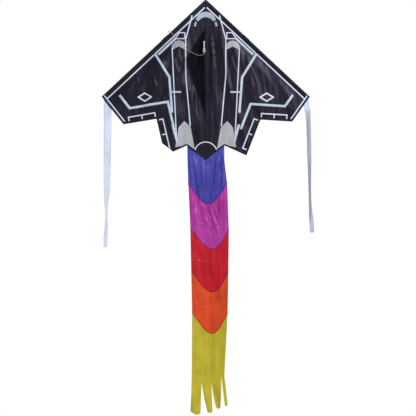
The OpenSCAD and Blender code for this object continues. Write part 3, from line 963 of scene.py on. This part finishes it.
# ---- the tail
def tail_edges(z):
    """Left and right edges of the tail at a height."""
    drops = (790, 893, 1009, 1259, 1495, 1722, 2070)
    left = np.interp(-z, drops, (-102, -101, -100, -89, -84, -79, -81))
    right = np.interp(-z, drops, (102, 102, 114, 123, 120, 116, 98))
    return left, right


def scallop_line(k, lift=0.0, steps=26):
    """The curved seam under panel k, from left to right."""
    z, lean = TAIL_STEPS[k], SCALLOP_LEAN[k]
    left, right = tail_edges(z)
    out = []
    for n in range(steps + 1):
        u = 2 * n / steps - 1
        depth = max(math.cos(math.pi / 2 * u), 0) ** 1.12
        out.append((float((left + right) / 2 + u * (right - left) / 2 + lean * (1 - u * u)),
                    float(z + lift - SCALLOP * depth)))
    return out


def tail_side(z_from, z_to, side, steps=6):
    """Points down the left (0) or right (1) edge of the tail."""
    return [(float(tail_edges(z)[side]), float(z)) for z in np.linspace(z_from, z_to, steps)]


def across_tail(z):
    return [*tail_side(z, z, 0, 1), *tail_side(z, z, 1, 1)]


TAIL_FOLDS = [
    (-84, -780, -20, -1150, 9, 8), (-60, -760, -34, -1180, 7, 6), (-20, -800, -14, -1160, 8, 7),
    (14, -820, -6, -1160, 7, 6), (86, -760, 20, -1170, 10, 9), (60, -800, 50, -1150, 7, 6),
    (98, -780, 84, -1080, 6, 5), (-94, -800, -70, -1100, 6, 5), (34, -900, 26, -1100, 5, 3),
    (-36, -1120, 34, -1232, 4.5, 5), (-26, -1140, 48, -1225, 4.5, -3), (34, -1110, 74, -1240, 4.5, 4.5),
    (92, -1050, 64, -1236, 4.5, 5), (104, -1080, 90, -1190, 4.5, 4), (-84, -1080, -66, -1180, 4.5, 3),
    (-60, -1230, 30, -1250, 4.5, 2.2), (10, -1270, 24, -1330, 4.5, 2.2), (-70, -1180, -30, -1300, 4.5, 2.2),
    (60, -1250, 100, -1170, 4.5, 2.2), (40, -1240, 84, -1225, 4.5, 2.2), (-76, -1330, -46, -1352, 4.5, 2.2),
    (-60, -1440, 24, -1446, 4.5, 1.5), (96, -1330, 108, -1480, 4.5, 2.2), (-74, -1730, -44, -1790, 5, 3),
    (-78, -1760, -60, -1850, 4.5, 2.2), (10, -2066, -20, -2076, 4.5, 2.2),
    (-60, -1690, 20, -1700, 4.5, 1.5), (-40, -1090, 10, -1260, 9, 6), (6, -1110, 64, -1290, 9, 7),
    (88, -1060, 60, -1240, 12, 7), (96, -1000, 108, -1230, 9, 6), (-76, -1020, -80, -1230, 10, 5),
    (-60, -1120, -50, -1380, 14, 5), (20, -1300, 40, -1560, 16, 5), (-50, -1400, -55, -1640, 15, 4),
    (70, -1380, 80, -1700, 14, 5), (-10, -1560, -4, -1900, 17, 4), (50, -1750, 48, -2080, 14, 5),
    (-48, -1800, -55, -2090, 14, 4), (6, -1950, 0, -2120, 10, 4),
]
TAIL_RIPPLES = [(0.9, 52, 0.2, 0.3), (0.6, 34, -0.25, 1.2), (1.2, 120, 0.9, 2.0), (0.4, 23, 0.05, 2.6)]


def tail_height(x, z):
    calm = 1 - 0.6 * soft_step((-z - 1240) / 120)
    total = sum(fold(x, z, *f) for f in TAIL_FOLDS) + calm * ripple(x, z, TAIL_RIPPLES)
    total = total + 12 * np.sin(-z / 260 + 0.4) * soft_step((-z - 980) / 300)
    total = total + 7 * np.sin(x / 62 + 0.5 + z / 700) * soft_step((-z - 930) / 160)
    fringe = soft_step((-z - 2100) / 90)
    total = total + fringe * 9 * np.sin(x / 13 + z / 60)
    turned = np.clip(x - 16, 0, None) * 0.32 * soft_step((-z - 1200) / 260) * soft_step((2200 + z) / 200)
    total = total + turned
    sail_edge = POINT[1] + (INNER[1] - POINT[1]) * np.clip(np.abs(x) / INNER[0], 0, 1)
    return total * soft_step((sail_edge - 3 - z) / 90)


def lay_tail(points):
    x, z = points[:, 0], points[:, 1]
    places = np.stack([x + 4.0 * soft_step((-z - 800) / 300), TAIL_Y - tail_height(x, z), z], axis=1)
    return places, np.array([0.0, -1.0, 0.0])


FRINGE = [
    # the lower edge of the yellow panel and its strips, from right to left
    (98, -2070), (108, -2150), (117, -2232), (110, -2240), (101, -2236), (91, -2150), (82, -2076),
    (81, -2160), (77, -2250), (64, -2256), (53, -2248), (39, -2190), (28, -2112),
    (30, -2200), (34, -2268), (20, -2276), (6, -2272), (-11, -2200), (-27, -2112),
    (-30, -2200), (-33, -2282), (-60, -2284), (-88, -2268), (-84, -2180),
]


def bends(obj):
    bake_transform(obj)


def make_heading():
    right, left = tail_side(TAIL_TOP, TAIL_SPLIT, 1), tail_side(TAIL_TOP, TAIL_SPLIT, 0)
    heading = shell("tail_heading_cloth", left[:1] + right + left[:0:-1], 4.5, lay_tail, BLUE, thick=0.35)
    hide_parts("tail_heading")
    bends(heading)


def make_panel(k, name, shade):
    """One colour of the tail, with the scalloped seam under it. The panels lap there."""
    z = TAIL_STEPS[k]
    upper = scallop_line(k - 1) if k else across_tail(TAIL_SPLIT)
    above = upper[-1][1]
    lower = scallop_line(k, -LAP)[::-1]
    outline = upper + tail_side(above, z, 1)[1:-1] + lower + tail_side(z, above, 0)[1:-1]
    panel = shell(f"tail_{name}_cloth", outline, 4.5, lay_tail, shade, lift=-0.04 * k, thick=0.35)
    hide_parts(f"tail_{name}")
    bends(panel)
    seam = band(scallop_line(k, 2.0 - LAP), 4.0)
    seam = joined(f"tail_seam_{name}", [shell("seam", seam, 5.0, lay_tail, SEAMS[k], thick=1.0)])
    thread = stitches(f"tail_stitching_{name}", [scallop_line(k, 2.5 - LAP, 40)], lay_tail,
                      SEAMS[k], pitch=3.6, length=2.4, lift=0.6)
    for piece in (seam, thread):
        ride(piece, f"tail_{k + 2}", f"{name}_nylon")


def make_tail():
    make_heading()
    panels = (("blue", BLUE), ("magenta", MAGENTA), ("red", RED), ("orange", ORANGE))
    for k, (name, shade) in enumerate(panels):
        make_panel(k, name, shade)
    last, strips = TAIL_STEPS[3], FRINGE[0][1]
    outline = scallop_line(3) + tail_side(last, strips, 1)[1:-1] + FRINGE + tail_side(strips, last, 0)[:-1]
    yellow = shell("tail_yellow_cloth", outline, 6.0, lay_tail, YELLOW, lift=-0.16, thick=0.35)
    ride(yellow, "tail_5", "yellow_nylon", "tail_yellow")


def ribbon(name, side, route, parent, hem_node, node):
    """A ribbon that hangs and twists. route lists (x, y, z, half width, turn) down its middle."""
    line = smooth_curve(route, 14) + [3.5, 0, 0, 0, 0]
    places, halves = line[:, :3], line[:, 3]
    ways = [np.array([math.cos(turn), math.sin(turn), 0.0]) for turn in line[:, 4]]
    steps = 8
    rings = []
    for k, (middle, half, way) in enumerate(zip(places, halves, ways)):
        out = np.array([-way[1], way[0], 0.0])
        bow = 1.6 * math.sin(k / 9.0)
        shares = [2 * j / steps - 1 for j in range(steps + 1)]
        row = [middle + way * half * t + out * bow * (1 - t * t) for t in shares]
        rings.append([p - out * 0.18 for p in row] + [p + out * 0.18 for p in reversed(row)])
    strip = loft(name, rings, RIBBON, flip=True)
    edges = [tube("edge", [p + share * half * way for p, half, way in zip(places, halves, ways)],
                  0.45, RIBBON_EDGE, 6) for share in (-0.97, 0.97)]
    edges = joined(f"{name}_edges", edges)
    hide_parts(hem_node, node)
    for piece in (strip, edges):
        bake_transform(piece)

    def on_top(points):
        y = np.full(len(points), places[0][1])
        return np.stack([points[:, 0], y, points[:, 1]], axis=1), np.array([0.0, 1.0, 0.0])

    top_x, _, top_z = places[0]
    ends = sorted((top_x - side * 0.85 * halves[0], top_x + side * 2))
    sewn = [[(x, top_z - drop) for x in ends] for drop in (5, 12)]
    thread = ride(stitches(f"{name}_stitching", sewn, on_top, THREAD, both=False), parent, "pale_ribbon")


LEFT_RIBBON = [
    (-543, 1.6, -550, 21, 0.0), (-543, 2.2, -610, 21, 0.03), (-543, 1, -680, 21, 0.12),
    (-544, -2, -800, 20.5, 0.3), (-546, -3, -950, 20, 0.45), (-548, 0, -1060, 18, 0.62),
    (-551, 2, -1130, 15, 0.9), (-550, 3, -1190, 14, 1.15), (-551, 2, -1250, 14, 0.95),
    (-554, 0, -1310, 14, 0.75), (-555, 0, -1364, 12, 0.7),
]
RIGHT_RIBBON = [
    (549, 1.6, -548, 15, 0.0), (552, 2.0, -585, 17, -0.2), (560, 0, -640, 19, -0.85),
    (564, -2, -740, 19, -0.95), (566, -3, -860, 19, -1.0), (568, 0, -980, 19, -1.2),
    (570, 2, -1090, 19, -1.27), (573, 2, -1160, 17, -1.1), (578, 1, -1220, 16, -0.8),
    (582, 0, -1284, 15, -0.75),
]


def make_ribbons():
    ribbon("left_ribbon_cloth", -1, LEFT_RIBBON, "root", "left_streamer_hem", "left_streamer")
    ribbon("right_ribbon_cloth", 1, RIGHT_RIBBON, "right_wing",
           "right_streamer_hem", "right_streamer")


# ---- the spars and fittings
def dress(names, material):
    """A CAD part that keeps its own shape gets its finish."""
    for name in names:
        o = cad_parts[name]
        o.data.materials.clear()
        o.data.materials.append(material)


def make_spine():
    low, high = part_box("spine_sleeve")
    rod_y = high[1] / MM - 4.5
    profile = [(9, 0.5), (9, 1.0), (6.5, 1.5), (4.4, 3.4), (4.3, 6.2), (2.8, 8.3), (0, 9.0)]
    section = profile + [(-x, y) for x, y in reversed(profile[:-1])]
    rings = []
    for z in np.arange(high[2] / MM, low[2] / MM, -6.0):
        swell = 1.0 + 0.04 * math.sin(z / 15.0) + 0.03 * math.sin(z / 6.1)
        on_tail = z < TAIL_TOP + 2  # its flaps are narrower there, and lie on the tail
        ring = []
        for x, y in section:
            wide = x * (0.55 if on_tail else 1.0) if abs(x) > 5 else x * swell
            low_y = max(y, 0.6) + (0.7 if on_tail and y < 1.1 else 0.0)
            ring.append((wide, low_y if y < 4 else rod_y + (y - rod_y) * swell, z))
        rings.append(ring)
    ride(loft("spine_sleeve_cloth", rings, NYLON_EDGE), "root", "sail_nylon", "spine_sleeve")


def main():
    make_world()
    make_camera()
    make_light("key", (2.3, -4.2, 1.3), (0, 0, -0.9), 0.5, 225.0, (1.0, 0.98, 0.96))
    make_light("fill", (-3.2, -4.2, -0.6), (0, 0, -1.2), 2.6, 20.0, (0.95, 0.97, 1.0))
    make_light("rim", (1.8, 3.4, 0.9), (0, 0, -1.0), 1.6, 130.0)
    make_floor()
    make_leader()
    make_sail()
    make_print()
    make_sleeves()
    make_nose()
    make_keel()
    make_tab()
    make_tail()
    make_ribbons()
    make_spine()
    dress(["left_leading_edge_spar", "right_leading_edge_spar", "spine_spar", "spreader_spar"], ROD)
    dress(["left_spar_caps", "right_spar_caps", "left_spreader_connector", "right_spreader_connector",
           "spine_caps", "spreader_end_caps"], VINYL)
    dress(["tow_eyelet"], BRASS)
    bpy.context.scene.view_settings.view_transform = "Standard"


main()
